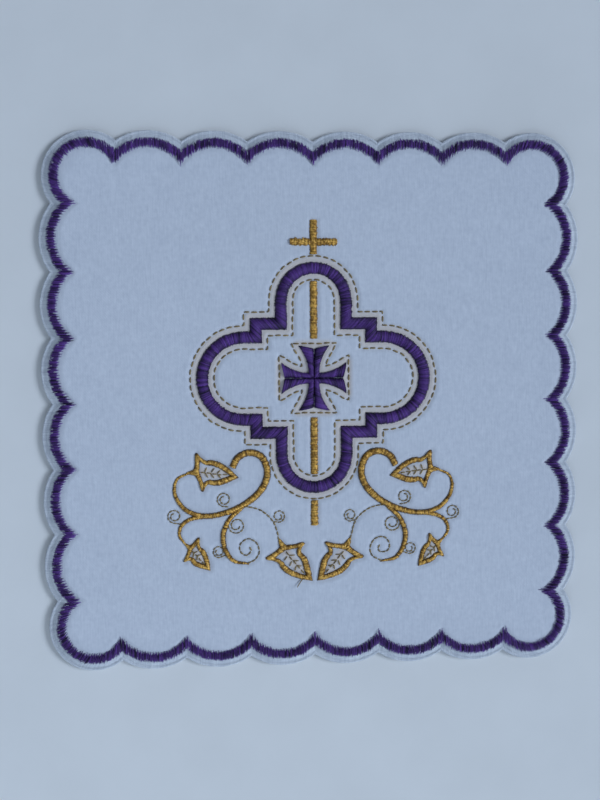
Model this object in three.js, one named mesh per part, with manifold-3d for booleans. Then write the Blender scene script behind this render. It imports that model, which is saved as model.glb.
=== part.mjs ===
// A chalice pall: a stiffened square of white cloth with a scalloped edge, lying flat.
// It is embroidered with a purple band along the scallops, a slender gold cross,
// a purple barbed quatrefoil with a small cross in it, and two gold vine sprays.
// Millimetres, +Z up. The origin is the middle of the underside, and +Y points to the head of the cross.

import * as THREE from "three";
import { mergeVertices } from "three/addons/utils/BufferGeometryUtils.js";
import Module from "manifold-3d";

const wasm = await Module();
wasm.setup();

// Driving dimensions of the scalloped edge
const PALL_WIDTH = 160.6;
const PALL_LENGTH = 159.6;
const SCALLOPS_PER_SIDE = 6;
const SCALLOP_PITCH = 19.3;
const SCALLOP_RADIUS = 14.55; // outer edge of the purple band
const CORNER_RADIUS = 11.1; // the same edge on a corner lobe
const CORNER_INSET = 1; // how far a corner lobe stops short of the left and right scallops' crests
const BAND_WIDTH = 2.55;
const RIM_WIDTH = 2.35; // white stitched rim outside the band
const SCALLOP_STEPS = 8;
const CORNER_STEPS = 12;

// Heights
const FACE_HEIGHT = 2.2;
const PIECE_GAP = 0.3;
const STITCH_BASE = FACE_HEIGHT + PIECE_GAP;
const BAND_RISE = 0.6;
const ORNAMENT_RISE = 0.9;
const CROSS_RISE = 0.5;
const VINE_RISE = 0.6;

// Barbed quatrefoil: four stilted lobes round an upright rectangle whose corners stand out between them
const FOIL_Y = 7;
const FOIL_RIBBON = 3.6;
const SIDE_LOBE = { reach: 21, radius: 14 };
const TOP_LOBE = { reach: 23, radius: 11.5 };
const FOIL_HALF_WIDTH = 19;
const FOIL_HALF_HEIGHT = 18;
const FOIL_LOBE_STEPS = 16;

// Small cross with flared arms, inside the quatrefoil
const FLARE_ARM = 9.6;
const FLARE_HALF_WAIST = 1.6;
const FLARE_HALF_END = 4.6;
const FLARE_END_DIP = 1; // how far each arm's end curves in
const FLARE_CURVE_STEPS = 6;

// Slender gold cross
const SHAFT_WIDTH = 1.75;
const CROSS_TOP_Y = 53.6;
const CROSS_FOOT_Y = -37;
const CROSSBAR_WIDTH = 13.7;
const CROSSBAR_Y = 47.3;
const OUTLINE_GAP = 1.7; // from the purple to the running stitch round it
const SHAFT_CLEARANCE = OUTLINE_GAP + 0.6; // from the purple to a cut end of the shaft

// Vine sprays: widths of the stems, and a few points along each, as distances outwards from the axis and up
const STEM_STEPS = 26;
const STEMS = [
  {
    name: "main scroll",
    widths: { start: 1.9, middle: 1.8, end: 0.6 },
    points: [
      { out: 24.4, up: -19.2 },
      { out: 22.8, up: -16.4 },
      { out: 19.4, up: -15.0 },
      { out: 15.9, up: -16.2 },
      { out: 14.1, up: -20.6 },
      { out: 15.3, up: -25.2 },
      { out: 19.6, up: -29.6 },
      { out: 25.6, up: -32.6 },
      { out: 32.6, up: -33.8 },
      { out: 38.2, up: -32.0 },
      { out: 41.6, up: -27.2 },
      { out: 41.0, up: -22.8 },
      { out: 37.6, up: -20.9 },
    ],
  },
  {
    name: "outer branch",
    widths: { start: 1.3, middle: 1.1, end: 0.6 },
    points: [
      { out: 33.0, up: -33.9 },
      { out: 37.2, up: -34.7 },
      { out: 39.9, up: -36.8 },
      { out: 40.4, up: -39.6 },
      { out: 38.6, up: -42.3 },
    ],
  },
  {
    name: "inner arch",
    widths: { start: 0.8, middle: 0.6, end: 0.6 },
    points: [
      { out: 21.4, up: -31.0 },
      { out: 17.1, up: -32.0 },
      { out: 14.0, up: -34.0 },
      { out: 12.0, up: -36.8 },
      { out: 10.6, up: -41.6 },
    ],
  },
  {
    name: "lower scroll",
    widths: { start: 1.0, middle: 1.5, end: 0.6 },
    points: [
      { out: 22.0, up: -31.8 },
      { out: 25.6, up: -35.1 },
      { out: 27.4, up: -39.7 },
      { out: 26.8, up: -44.1 },
      { out: 24.4, up: -47.4 },
      { out: 20.0, up: -48.4 },
    ],
  },
  {
    name: "spiral",
    widths: { start: 0.6, middle: 0.6, end: 0.6 },
    points: [
      { out: 20.4, up: -48.4 },
      { out: 17.6, up: -46.9 },
      { out: 16.7, up: -44.2 },
      { out: 18.0, up: -41.7 },
      { out: 20.4, up: -41.0 },
      { out: 22.4, up: -42.6 },
      { out: 22.2, up: -45.0 },
      { out: 20.4, up: -45.8 },
    ],
  },
];

// Leaves: where each starts, how it points (degrees from outwards), its length, how far one ear leans
// ahead of the other and how far its midrib bows aside, both as shares
const LEAVES = [
  { name: "upper leaf", out: 38.0, up: -20.9, angle: 186, length: 15.3, lean: 0.35, bow: -0.05 },
  { name: "outer leaf", out: 38.8, up: -42.0, angle: 228, length: 11.0, lean: 0.36, bow: -0.02 },
  { name: "middle leaf", out: 10.7, up: -41.2, angle: 232, length: 16.2, lean: -0.38, bow: 0.065 },
];

// One half of a leaf's outline as smooth stretches, from its stalk. Each has two pulls and an end,
// as shares of the leaf's length along it and out to the side
const LEAF_OUTLINE = [
  { name: "stalk", pulls: [[0.0, 0.02], [0.08, 0.035]], end: [0.13, 0.05] },
  { name: "ear", pulls: [[0.17, 0.08], [0.2, 0.2]], end: [0.215, 0.355] },
  { name: "ear tip", pulls: [[0.225, 0.38], [0.255, 0.38]], end: [0.268, 0.345] },
  { name: "notch", pulls: [[0.3, 0.285], [0.345, 0.235]], end: [0.41, 0.225] },
  { name: "belly", pulls: [[0.6, 0.3], [0.82, 0.14]], end: [1.0, 0.0] },
];

// One half of the bare cloth that shows inside a leaf, in the same way
const LEAF_OPENING_START = 0.225;
const LEAF_OPENING = [
  { name: "ear", pulls: [[0.228, 0.08], [0.258, 0.17]], end: [0.275, 0.215] },
  { name: "ear tip", pulls: [[0.283, 0.23], [0.3, 0.228]], end: [0.312, 0.205] },
  { name: "notch", pulls: [[0.335, 0.18], [0.375, 0.162]], end: [0.425, 0.155] },
  { name: "belly", pulls: [[0.58, 0.18], [0.74, 0.07]], end: [0.86, 0.0] },
];
const LEAF_STRETCH_STEPS = 4;

// Section of a satin-stitched ribbon: across it from the outer edge, and up to its crest
const SATIN_SECTION = [
  { across: 0.0, up: 0.0 },
  { across: 0.1, up: 0.6 },
  { across: 0.5, up: 1.0 },
  { across: 0.9, up: 0.6 },
  { across: 1.0, up: 0.0 },
];

// The panel from the underside round the rim to the face: out from the band's outer edge, and up
const PANEL_SECTION = [
  { name: "foot", out: RIM_WIDTH - 0.25, up: 0 },
  { name: "edge low", out: RIM_WIDTH, up: 0.35 },
  { name: "edge high", out: RIM_WIDTH, up: 1.2 },
  { name: "rim shoulder", out: RIM_WIDTH - 0.35, up: 1.65 },
  { name: "rim crown", out: 0.5, up: 1.95 },
  { name: "band edge", out: 0.2, up: FACE_HEIGHT },
  { name: "face", out: -BAND_WIDTH - 0.9, up: FACE_HEIGHT },
];

const CLOTH = new THREE.MeshStandardMaterial({ color: 0xe6ecf5, roughness: 0.9, metalness: 0 });
const PURPLE = new THREE.MeshStandardMaterial({ color: 0x3d2a6e, roughness: 0.45, metalness: 0 });
const GOLD = new THREE.MeshStandardMaterial({ color: 0xa07a2c, roughness: 0.4, metalness: 0.3 });

const ORIGIN = new THREE.Vector2(0, 0);
const LOBES = edgeLobes();

// A point turned about the origin by a number of right angles.
function turned(point, rightAngles) {
  return point.rotateAround(ORIGIN, (rightAngles * Math.PI) / 2);
}

// The lobes of the edge, anticlockwise from the right side's lowest scallop:
// each side's scallops, then its corner.
function edgeLobes() {
  const crests = [PALL_WIDTH / 2 - RIM_WIDTH, PALL_LENGTH / 2 - RIM_WIDTH];
  const corner = new THREE.Vector2(crests[0] - CORNER_INSET - CORNER_RADIUS, crests[1] - CORNER_RADIUS);
  const corners = [[1, 1], [-1, 1], [-1, -1], [1, -1]];
  return corners.flatMap(([x, y], side) => {
    const scallops = Array.from({ length: SCALLOPS_PER_SIDE }, (_, i) => {
      const along = (i - (SCALLOPS_PER_SIDE - 1) / 2) * SCALLOP_PITCH;
      const centre = new THREE.Vector2(crests[side % 2] - SCALLOP_RADIUS, along);
      return { centre: turned(centre, side), radius: SCALLOP_RADIUS, steps: SCALLOP_STEPS };
    });
    const centre = new THREE.Vector2(x * corner.x, y * corner.y);
    return [...scallops, { centre, radius: CORNER_RADIUS, steps: CORNER_STEPS }];
  });
}

// Where two neighbouring lobes, grown by out, cross on the outer side of the pall.
function cusp(first, second, out) {
  const between = second.centre.clone().sub(first.centre);
  const distance = between.length();
  const radius = first.radius + out;
  const other = second.radius + out;
  const along = (radius ** 2 - other ** 2 + distance ** 2) / (2 * distance);
  const away = Math.sqrt(radius ** 2 - along ** 2);
  const unit = between.divideScalar(distance);
  return new THREE.Vector2(
    first.centre.x + unit.x * along + unit.y * away,
    first.centre.y + unit.y * along - unit.x * away,
  );
}

function onCircle(centre, radius, angle) {
  return new THREE.Vector2(centre.x + radius * Math.cos(angle), centre.y + radius * Math.sin(angle));
}

// The scalloped edge, grown by out, as an anticlockwise ring of points.
function scallopRing(out) {
  return LOBES.flatMap((lobe, i) => {
    const start = cusp(LOBES.at(i - 1), lobe, out).sub(lobe.centre).angle();
    const finish = cusp(lobe, LOBES[(i + 1) % LOBES.length], out).sub(lobe.centre).angle();
    const sweep = (finish - start + 2 * Math.PI) % (2 * Math.PI);
    return Array.from({ length: lobe.steps }, (_, step) =>
      onCircle(lobe.centre, lobe.radius + out, start + (sweep * step) / lobe.steps),
    );
  });
}

// The quatrefoil's outline, grown by out, as an anticlockwise ring of points.
function quatrefoilRing(out) {
  const halves = [FOIL_HALF_WIDTH + out, FOIL_HALF_HEIGHT + out];
  const middle = new THREE.Vector2(0, FOIL_Y);
  return [SIDE_LOBE, TOP_LOBE, SIDE_LOBE, TOP_LOBE].flatMap(({ reach, radius }, side) => {
    const near = halves[side % 2];
    const barb = halves[(side + 1) % 2];
    const grown = radius + out;
    const centre = new THREE.Vector2(reach, 0);
    const arc = Array.from({ length: FOIL_LOBE_STEPS + 1 }, (_, step) =>
      onCircle(centre, grown, Math.PI * (step / FOIL_LOBE_STEPS - 0.5)),
    );
    const ends = [[near, grown], [near, barb]].map(([x, y]) => new THREE.Vector2(x, y));
    return [new THREE.Vector2(near, -grown), ...arc, ...ends].map((point) => turned(point, side).add(middle));
  });
}

function flatGeometry(points, faces) {
  const geometry = new THREE.BufferGeometry();
  const positions = points.flatMap((p) => [p.x, p.y, p.z]);
  geometry.setAttribute("position", new THREE.Float32BufferAttribute(positions, 3));
  geometry.setIndex(faces.flat());
  return geometry;
}

// The faces between rings of equal length, from each ring to the next,
// and from the last to the first if joined.
function ringFaces(rings, joined) {
  const count = rings[0].length;
  const faces = [];
  for (let k = 0; k < (joined ? rings.length : rings.length - 1); k++) {
    const low = k * count;
    const high = ((k + 1) % rings.length) * count;
    for (let i = 0; i < count; i++) {
      const next = (i + 1) % count;
      faces.push([low + i, low + next, high + next], [low + i, high + next, high + i]);
    }
  }
  return faces;
}

// A solid through a stack of anticlockwise rings, closed by flat ends.
function stackedSolid(rings) {
  const last = (rings.length - 1) * rings[0].length;
  const bottom = THREE.ShapeUtils.triangulateShape(rings[0], []).map(([a, b, c]) => [a, c, b]);
  const top = THREE.ShapeUtils.triangulateShape(rings.at(-1), []).map((face) => face.map((i) => last + i));
  return flatGeometry(rings.flat(), [...ringFaces(rings, false), ...bottom, ...top]);
}

// A closed ribbon with a satin-stitched section along a ring of points that can be grown.
function satinRibbon(ringAt, width, rise) {
  const rings = SATIN_SECTION.map(({ across, up }) =>
    ringAt(-across * width).map((p) => new THREE.Vector3(p.x, p.y, STITCH_BASE + up * rise)),
  );
  return flatGeometry(rings.flat(), ringFaces(rings, true));
}

function panelGeometry() {
  return stackedSolid(
    PANEL_SECTION.map(({ out, up }) => scallopRing(out).map((p) => new THREE.Vector3(p.x, p.y, up))),
  );
}

// A flat shape raised off the face, with its upper edge eased.
function raised(shape, rise) {
  const ease = rise / 3;
  const geometry = new THREE.ExtrudeGeometry(shape, {
    depth: rise - 2 * ease,
    bevelThickness: ease,
    bevelSize: ease,
    bevelOffset: -ease,
    bevelSegments: 1,
    curveSegments: FLARE_CURVE_STEPS,
  });
  return geometry.translate(0, 0, STITCH_BASE + ease);
}

// A cross whose arms widen along curves from its waist to hollow ends.
function flaredCross() {
  const shape = new THREE.Shape();
  shape.moveTo(FLARE_HALF_WAIST, -FLARE_HALF_WAIST);
  for (let side = 0; side < 4; side++) {
    const middle = (FLARE_ARM + FLARE_HALF_WAIST) / 2;
    const at = (x, y) => turned(new THREE.Vector2(x, y), side);
    const lowPull = at(middle, -FLARE_HALF_WAIST);
    const lowEnd = at(FLARE_ARM, -FLARE_HALF_END);
    const dip = at(FLARE_ARM - 2 * FLARE_END_DIP, 0);
    const highEnd = at(FLARE_ARM, FLARE_HALF_END);
    const highPull = at(middle, FLARE_HALF_WAIST);
    const waist = at(FLARE_HALF_WAIST, FLARE_HALF_WAIST);
    shape.quadraticCurveTo(lowPull.x, lowPull.y, lowEnd.x, lowEnd.y);
    shape.quadraticCurveTo(dip.x, dip.y, highEnd.x, highEnd.y);
    shape.quadraticCurveTo(highPull.x, highPull.y, waist.x, waist.y);
  }
  return raised(shape, ORNAMENT_RISE).translate(0, FOIL_Y, 0);
}

function polygon(corners) {
  return new THREE.Shape(corners.map(([x, y]) => new THREE.Vector2(x, y)));
}

function shaftStretch(low, high) {
  const half = SHAFT_WIDTH / 2;
  return polygon([[-half, low], [half, low], [half, high], [-half, high]]);
}

function crossHead(low) {
  const half = SHAFT_WIDTH / 2;
  const bar = CROSSBAR_WIDTH / 2;
  const barLow = CROSSBAR_Y - half;
  const barHigh = CROSSBAR_Y + half;
  const underBar = [[half, low], [half, barLow], [bar, barLow]];
  const overBar = [[bar, barHigh], [half, barHigh], [half, CROSS_TOP_Y]];
  const rightSide = [...underBar, ...overBar];
  const leftSide = rightSide.map(([x, y]) => [-x, y]).reverse();
  return polygon([...rightSide, ...leftSide]);
}

// The four stretches of the gold cross that the purple work leaves in sight.
function crossStretches() {
  const foilTop = FOIL_Y + TOP_LOBE.reach + TOP_LOBE.radius;
  const foilBottom = FOIL_Y - TOP_LOBE.reach - TOP_LOBE.radius;
  const inside = FOIL_RIBBON + SHAFT_CLEARANCE;
  return {
    gold_cross_head: crossHead(foilTop + SHAFT_CLEARANCE),
    gold_cross_upper_shaft: shaftStretch(FOIL_Y + FLARE_ARM + SHAFT_CLEARANCE, foilTop - inside),
    gold_cross_lower_shaft: shaftStretch(foilBottom + inside, FOIL_Y - FLARE_ARM - SHAFT_CLEARANCE),
    gold_cross_foot: shaftStretch(CROSS_FOOT_Y, foilBottom - SHAFT_CLEARANCE),
  };
}

function solidFrom(geometry) {
  const bare = geometry.clone();
  bare.deleteAttribute("normal");
  bare.deleteAttribute("uv");
  const merged = mergeVertices(bare);
  return new wasm.Manifold(
    new wasm.Mesh({
      numProp: 3,
      vertProperties: merged.attributes.position.array,
      triVerts: new Uint32Array(merged.index.array),
    }),
  );
}

function geometryFrom(solid) {
  const mesh = solid.getMesh();
  const geometry = new THREE.BufferGeometry();
  geometry.setAttribute("position", new THREE.BufferAttribute(mesh.vertProperties, 3));
  geometry.setIndex(new THREE.BufferAttribute(mesh.triVerts, 1));
  return geometry;
}

// A stem's width a share t along it: a smooth curve through its start, middle and end widths.
function stemWidth({ start, middle, end }, t) {
  const rest = 1 - t;
  return start * rest * (rest - t) + middle * 4 * rest * t + end * t * (t - rest);
}

// A tapering stem that lies on the face, with sloping sides and a flat back.
function stem({ points, widths }, side) {
  const route = new THREE.CatmullRomCurve3(
    points.map(({ out, up }) => new THREE.Vector3(side * out, up, STITCH_BASE)),
    false,
    "centripetal",
  );
  const sections = Array.from({ length: STEM_STEPS + 1 }, (_, step) => {
    const t = step / STEM_STEPS;
    const place = route.getPointAt(t);
    const tangent = route.getTangentAt(t);
    const left = new THREE.Vector3(-tangent.y, tangent.x, 0);
    const half = stemWidth(widths, t) / 2;
    const corner = (across, up) => place.clone().addScaledVector(left, across * half).setZ(STITCH_BASE + up);
    return [corner(1, 0), corner(-1, 0), corner(-0.5, VINE_RISE), corner(0.5, VINE_RISE)];
  });
  const count = sections[0].length;
  const last = (sections.length - 1) * count;
  const ends = [[0, 1, 2], [0, 2, 3], [last, last + 2, last + 1], [last, last + 3, last + 2]];
  const sides = ringFaces(sections, false).map(([a, b, c]) => [a, c, b]);
  return flatGeometry(sections.flat(), [...sides, ...ends]);
}

// One half of a leaf's edge, from the midrib at start, as points along it and out to the side.
function halfEdge(start, stretches) {
  const path = new THREE.Path().moveTo(start, 0);
  for (const { pulls, end } of stretches) {
    path.bezierCurveTo(...pulls[0], ...pulls[1], ...end);
  }
  return path.getPoints(LEAF_STRETCH_STEPS);
}

// A leaf stitched round its outline and open in the middle.
function leaf({ out, up, angle, length, lean, bow }, side) {
  const turn = THREE.MathUtils.degToRad(angle);
  const place = ({ x: along, y: across }) => {
    const leant = along + lean * across * (1 - along);
    const bowed = across + bow * 4 * along * (1 - along);
    const local = new THREE.Vector2(leant, bowed).multiplyScalar(length).rotateAround(ORIGIN, turn);
    return new THREE.Vector2(side * (out + local.x), up + local.y);
  };
  const outline = (start, stretches) => {
    const half = halfEdge(start, stretches);
    const otherHalf = half.slice(1, -1).reverse().map((p) => new THREE.Vector2(p.x, -p.y));
    const points = [...half, ...otherHalf].map(place);
    return THREE.ShapeUtils.isClockWise(points) ? points.reverse() : points;
  };
  const shape = new THREE.Shape(outline(0, LEAF_OUTLINE));
  shape.holes.push(new THREE.Path(outline(LEAF_OPENING_START, LEAF_OPENING)));
  const geometry = new THREE.ExtrudeGeometry(shape, { depth: VINE_RISE, bevelEnabled: false });
  return geometry.translate(0, 0, STITCH_BASE);
}

// One spray of vine: its stems and leaves joined. Side is 1 on the right and -1 on the left.
function spray(side) {
  const pieces = [...STEMS.map((row) => stem(row, side)), ...LEAVES.map((row) => leaf(row, side))];
  return geometryFrom(pieces.map(solidFrom).reduce((whole, piece) => whole.add(piece)));
}

function named(name, geometry, material) {
  const mesh = new THREE.Mesh(geometry, material);
  mesh.name = name;
  return mesh;
}

const pall = new THREE.Group();
pall.name = "chalice_pall";

pall.add(named("cloth_panel", panelGeometry(), CLOTH));
pall.add(named("scalloped_band", satinRibbon(scallopRing, BAND_WIDTH, BAND_RISE), PURPLE));
pall.add(named("quatrefoil", satinRibbon(quatrefoilRing, FOIL_RIBBON, ORNAMENT_RISE), PURPLE));
pall.add(named("flared_cross", flaredCross(), PURPLE));
for (const [name, shape] of Object.entries(crossStretches())) {
  pall.add(named(name, raised(shape, CROSS_RISE), GOLD));
}
pall.add(named("vine_spray_left", spray(-1), GOLD));
pall.add(named("vine_spray_right", spray(1), GOLD));

export default pall;
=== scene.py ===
"""A chalice pall, laid flat: the white scalloped cloth and every stitch of its embroidery.

Sizes are millimetres in the part's frame, and become metres where a mesh is made.
"""

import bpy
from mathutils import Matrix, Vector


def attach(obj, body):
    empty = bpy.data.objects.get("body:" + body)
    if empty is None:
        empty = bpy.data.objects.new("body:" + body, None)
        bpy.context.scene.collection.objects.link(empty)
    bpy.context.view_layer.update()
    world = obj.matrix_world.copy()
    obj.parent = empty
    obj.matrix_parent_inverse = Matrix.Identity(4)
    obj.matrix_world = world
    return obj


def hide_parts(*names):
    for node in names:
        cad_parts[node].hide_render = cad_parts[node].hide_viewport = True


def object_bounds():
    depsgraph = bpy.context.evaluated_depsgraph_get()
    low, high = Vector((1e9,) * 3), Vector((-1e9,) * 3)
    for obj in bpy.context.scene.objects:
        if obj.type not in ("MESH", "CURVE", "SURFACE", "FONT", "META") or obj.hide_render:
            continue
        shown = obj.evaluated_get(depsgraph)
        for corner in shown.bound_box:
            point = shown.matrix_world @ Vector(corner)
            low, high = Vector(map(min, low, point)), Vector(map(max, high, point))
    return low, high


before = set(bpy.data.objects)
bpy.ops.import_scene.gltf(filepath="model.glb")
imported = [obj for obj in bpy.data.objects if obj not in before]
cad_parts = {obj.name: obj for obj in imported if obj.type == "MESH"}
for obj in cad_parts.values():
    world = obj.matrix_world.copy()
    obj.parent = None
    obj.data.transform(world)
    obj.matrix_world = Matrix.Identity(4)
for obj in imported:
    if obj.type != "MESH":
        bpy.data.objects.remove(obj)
cad_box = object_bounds()

import copy
import math

import bpy
import numpy as np
from mathutils import Matrix, Vector
from mathutils.kdtree import KDTree

MM = 0.001
TINY = 1e-6
RNG = np.random.default_rng(11)

# The scalloped edge, as in the part's source, with the pall's size from the frame
PALL_WIDTH, PALL_LENGTH = (round((cad_box[1][i] - cad_box[0][i]) / MM, 2) for i in (0, 1))
SCALLOPS_PER_SIDE = 6
SCALLOP_PITCH = 19.3
SCALLOP_RADIUS = 14.55
CORNER_RADIUS = 11.1
CORNER_INSET = 1.0
BAND_WIDTH = 2.55
BAND_MIDDLE = -BAND_WIDTH / 2
RIM_WIDTH = 2.35
FACE_HEIGHT = 2.2
CRESTS = (PALL_WIDTH / 2 - RIM_WIDTH, PALL_LENGTH / 2 - RIM_WIDTH)
CORNER_CENTRE = (CRESTS[0] - CORNER_INSET - CORNER_RADIUS, CRESTS[1] - CORNER_RADIUS)

# The embroidery, as in the part's source
FOIL_Y = 7.0
FOIL_RIBBON = 3.6
SIDE_LOBE = {"reach": 21.0, "radius": 14.0}
TOP_LOBE = {"reach": 23.0, "radius": 11.5}
FOIL_HALF_WIDTH = 19.0
FOIL_HALF_HEIGHT = 18.0
FLARE_ARM = 9.6
FLARE_HALF_WAIST = 1.6
FLARE_HALF_END = 4.6
FLARE_END_DIP = 1.0
SHAFT_WIDTH = 1.75
CROSS_TOP_Y = 53.6
CROSS_FOOT_Y = -37.0
CROSSBAR_WIDTH = 13.7
CROSSBAR_Y = 47.3
OUTLINE_GAP = 1.7
SHAFT_CLEARANCE = OUTLINE_GAP + 0.6
# Where the outline turns at the end of the flared cross's arm, out and aside, in gaps
FLARE_TIP = (1.1, 0.5)

# Vine stems: width at the start, middle and end, and points as distances out from the axis and up
STEMS = [
    {"name": "main scroll", "widths": (1.9, 1.8, 0.6),
     "points": [(24.4, -19.2), (22.8, -16.4), (19.4, -15.0), (15.9, -16.2), (14.1, -20.6), (15.3, -25.2),
                (19.6, -29.6), (25.6, -32.6), (32.6, -33.8), (38.2, -32.0), (41.6, -27.2), (41.0, -22.8),
                (37.6, -20.9)]},
    {"name": "outer branch", "widths": (1.3, 1.1, 0.6),
     "points": [(33.0, -33.9), (37.2, -34.7), (39.9, -36.8), (40.4, -39.6), (38.6, -42.3)]},
    {"name": "lower scroll", "widths": (1.0, 1.5, 0.6),
     "points": [(22.0, -31.8), (25.6, -35.1), (27.4, -39.7), (26.8, -44.1), (24.4, -47.4), (20.0, -48.4)]},
]
# Stems that are only a running stitch
THIN_STEMS = [
    {"name": "inner arch",
     "points": [(21.4, -31.0), (17.1, -32.0), (14.0, -34.0), (12.0, -36.8), (10.6, -41.6)]},
    {"name": "spiral",
     "points": [(20.4, -48.4), (17.6, -46.9), (16.7, -44.2), (18.0, -41.7), (20.4, -41.0), (22.4, -42.6),
                (22.2, -45.0), (20.4, -45.8), (19.2, -44.8), (19.7, -43.3)]},
]
# Curls that spring from the stems: root, heading (degrees from outwards), straight tail, radius,
# and turns (anticlockwise if positive). Each winds in until its radius has lost a share of itself
CURLS = [
    {"out": 25.7, "up": -31.2, "heading": 8, "tail": 1.7, "radius": 2.05, "turns": 1.5},
    {"out": 39.8, "up": -36.1, "heading": 10, "tail": 2.4, "radius": 2.0, "turns": 1.45},
    {"out": 25.8, "up": -36.8, "heading": 262, "tail": 0.4, "radius": 2.35, "turns": -1.45},
    {"out": 26.1, "up": -45.4, "heading": -22, "tail": 2.2, "radius": 1.75, "turns": 1.45},
    {"out": 12.4, "up": -35.8, "heading": 192, "tail": 1.3, "radius": 1.8, "turns": -1.45},
]
CURL_LOSS = 0.62
CURL_POWER = 1.5
# Leaves: where the stalk starts, heading, length, how the sides lean and the middle bows, how far the
# stitches reach into the bare middle, and the pairs of veins
LEAVES = [
    {"name": "upper leaf", "out": 38.0, "up": -20.9, "angle": 186, "length": 15.3,
     "lean": 0.35, "bow": -0.05, "inward": 0.30, "veins": 3},
    {"name": "outer leaf", "out": 38.8, "up": -42.0, "angle": 228, "length": 11.0,
     "lean": 0.36, "bow": -0.02, "inward": 0.48, "veins": 2},
    {"name": "middle leaf", "out": 10.7, "up": -41.2, "angle": 232, "length": 16.2,
     "lean": -0.38, "bow": 0.065, "inward": 0.30, "veins": 3},
]
# One half of a leaf's outline, and of the bare cloth inside it, as smooth stretches of two pulls and an end,
# in shares of the leaf's length along it and out to the side
LEAF_OUTLINE = [
    {"name": "stalk", "pulls": [(0.0, 0.02), (0.08, 0.035)], "end": (0.13, 0.05)},
    {"name": "ear", "pulls": [(0.17, 0.08), (0.2, 0.2)], "end": (0.215, 0.355)},
    {"name": "ear tip", "pulls": [(0.225, 0.38), (0.255, 0.38)], "end": (0.268, 0.345)},
    {"name": "notch", "pulls": [(0.3, 0.285), (0.345, 0.235)], "end": (0.41, 0.225)},
    {"name": "belly", "pulls": [(0.6, 0.3), (0.82, 0.14)], "end": (1.0, 0.0)},
]
LEAF_OPENING = [
    {"name": "stalk", "pulls": [(0.08, 0.0), (0.15, 0.0)], "end": (0.225, 0.0)},
    {"name": "ear", "pulls": [(0.228, 0.08), (0.258, 0.17)], "end": (0.275, 0.215)},
    {"name": "ear tip", "pulls": [(0.283, 0.23), (0.3, 0.228)], "end": (0.312, 0.205)},
    {"name": "notch", "pulls": [(0.335, 0.18), (0.375, 0.162)], "end": (0.425, 0.155)},
    {"name": "belly", "pulls": [(0.58, 0.18), (0.74, 0.07)], "end": (0.86, 0.0)},
]
# Inside a leaf, in the same shares: the ends of its midrib, the line about which its cloth gets a painted
# highlight, and its veins from the midrib out to the side
LEAF_MIDRIB = (0.26, 0.80)
LEAF_PAINTED_HIGHLIGHT = [(0.30, 0.0), (0.70, 0.0)]
LEAF_VEINS = [
    {"start": 0.34, "end": 0.40, "half": 0.12},
    {"start": 0.46, "end": 0.54, "half": 0.11},
    {"start": 0.58, "end": 0.66, "half": 0.085},
]
# A loose end of thread beside the left middle leaf, and its heights above the cloth
LOOSE_END = [(-2.6, -52.3), (-3.4, -53.0), (-4.6, -54.4), (-5.5, -55.8)]
LOOSE_HEIGHTS = (0.2, 0.7)

# How many points a route is given
STEM_POINTS = 160
ROUTE_POINTS = 120
CURL_POINTS = 60
BAR_POINTS = 20
VEIN_POINTS = 12
LOOSE_POINTS = 9

# Threads are tubes, a little wider than tall and thinner at their ends, with plies that wind along them
THREAD_RADIUS = 0.20
FINE_RADIUS = 0.17
LOOSE_RADIUS = 0.8 * FINE_RADIUS
TUBE_SIDES = 5
TUBE_WIDEN = 1.1
TUBE_FLATTEN = 0.85
TUBE_END = 0.5
PLY_LENGTH = 0.7

# A stitch arches over its padding, from just under the cloth at its ends
ARCH_POWER = 2.4
STITCH_STEPS = 6
STITCH_SINK = 0.05
BAND_RISE = 0.7
ORNAMENT_RISE = 1.05
FLARE_RISE = 0.8 * ORNAMENT_RISE
CROSS_RISE = 0.5
VINE_RISE = 0.7

# Satin stitches: their pitch, how uneven their ends are, and how far they reach past an edge
SATIN_PITCH = 0.30
LEAF_PITCH = 0.25
FOIL_ROUGH = 0.08
FLARE_ROUGH = 0.06
SHAFT_ROUGH = 0.07
CROSSBAR_ROUGH = 0.14
VINE_ROUGH = 0.05
BAR_BEYOND = 0.24
LEAF_OUTWARD = 0.08
STEM_FULLNESS = 1.13
STEM_TRIM = 0.13
# A short satin stitch rises less: the shortest span, the span with the full rise, the least share of it,
# and the spread from stitch to stitch
LEAST_SPAN = 0.3
FULL_SPAN = 1.6
LEAST_RISE = 0.45
RISE_SPREAD = (0.92, 1.06)

# The purple band: uneven outer ends, inner ends that step from long to short, a few slits,
# and the most that a stitch at a corner leans away from the corner's radius
BAND_PITCH = 0.26
BAND_RADIUS = 0.135
BAND_TIP = 0.2
BAND_BEYOND = 0.09
BAND_RAGGED = 0.17
BAND_COMB = 3
BAND_FEATHER = (-3.25, -2.2)
BAND_SLITS = 0.05
BAND_SLIT_LENGTHS = (0.2, 0.8)
BAND_RISE_SPREAD = (0.8, 1.1)
STITCH_LEAN = math.radians(45)

# The white stitches of the rim, and the fine ones that catch down the outer ends of the band
RIM_PITCH = 0.32
RIM_RADIUS = 0.17
RIM_RAGGED = 0.03
RIM_UNEVEN = 0.01
CATCH_SHARE = 0.32
CATCH_START = 0.3
CATCH_DEPTHS = (0.1, 1.1)
CATCH_RADIUS = 0.05
CATCH_STEPS = 4

# Running stitches: pitch, share of it that a stitch spans, wander off the line, and the thread's radius
OUTLINE_RUN = {"pitch": 2.3, "share": 0.84, "wander": 0.06, "radius": 1.25 * FINE_RADIUS}
STEM_RUN = {"pitch": 1.5, "share": 1.04, "wander": 0.06, "radius": 1.1 * FINE_RADIUS}
CURL_RUN = {"pitch": 1.2, "share": 1.04, "wander": 0.03, "radius": FINE_RADIUS}
VEIN_RUN = {"pitch": 1.6, "share": 0.90, "wander": 0.08, "radius": FINE_RADIUS}
RUN_STEPS = 5
RUN_SINK = 0.12
RUN_RISE = 0.26
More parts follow.
